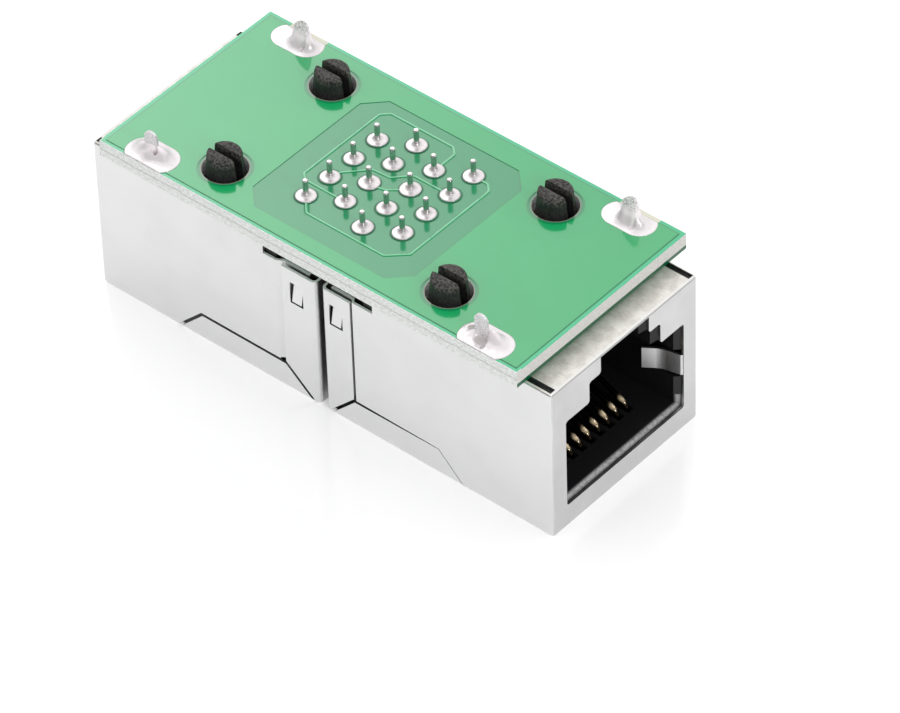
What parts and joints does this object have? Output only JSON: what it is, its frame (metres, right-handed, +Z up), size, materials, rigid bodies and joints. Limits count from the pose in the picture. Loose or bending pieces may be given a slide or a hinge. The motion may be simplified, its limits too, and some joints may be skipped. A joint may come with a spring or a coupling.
{
  "type": "rj45 inline coupler",
  "caption": "Bare inline coupler for network cables: shielded jacks back to back, joined pin to pin by a circuit board.",
  "frame": {"origin": "middle of the footprint, on the surface the coupler rests on", "axes": "+Z up towards the circuit board, +X along the length out of the port of jack b"},
  "size_m": [0.0424, 0.0182, 0.0173],
  "materials": {
    "laminate": "green solder mask over glass laminate, glossy",
    "plated_sheet": "thin nickel-plated sheet, satin",
    "moulded_plastic": "black glass-filled moulding, matte",
    "gold_plated_wire": "gold-plated wire, smooth",
    "solder": "bright tin solder with a soft sheen"
  },
  "bodies": {
    "root": {"circuit_board": "laminate", "shield_a": "plated_sheet", "housing_a": "moulded_plastic", "contact_carrier_a": "moulded_plastic", "contact_a_1": "gold_plated_wire", "contact_a_2": "gold_plated_wire", "contact_a_3": "gold_plated_wire", "contact_a_4": "gold_plated_wire", "contact_a_5": "gold_plated_wire", "contact_a_6": "gold_plated_wire", "contact_a_7": "gold_plated_wire", "contact_a_8": "gold_plated_wire", "pin_solder_a": "solder", "tab_solder_a_near": "solder", "tab_solder_a_far": "solder", "shield_b": "plated_sheet", "housing_b": "moulded_plastic", "contact_carrier_b": "moulded_plastic", "contact_b_1": "gold_plated_wire", "contact_b_2": "gold_plated_wire", "contact_b_3": "gold_plated_wire", "contact_b_4": "gold_plated_wire", "contact_b_5": "gold_plated_wire", "contact_b_6": "gold_plated_wire", "contact_b_7": "gold_plated_wire", "contact_b_8": "gold_plated_wire", "pin_solder_b": "solder", "tab_solder_b_near": "solder", "tab_solder_b_far": "solder"}
  },
  "joints": []
}
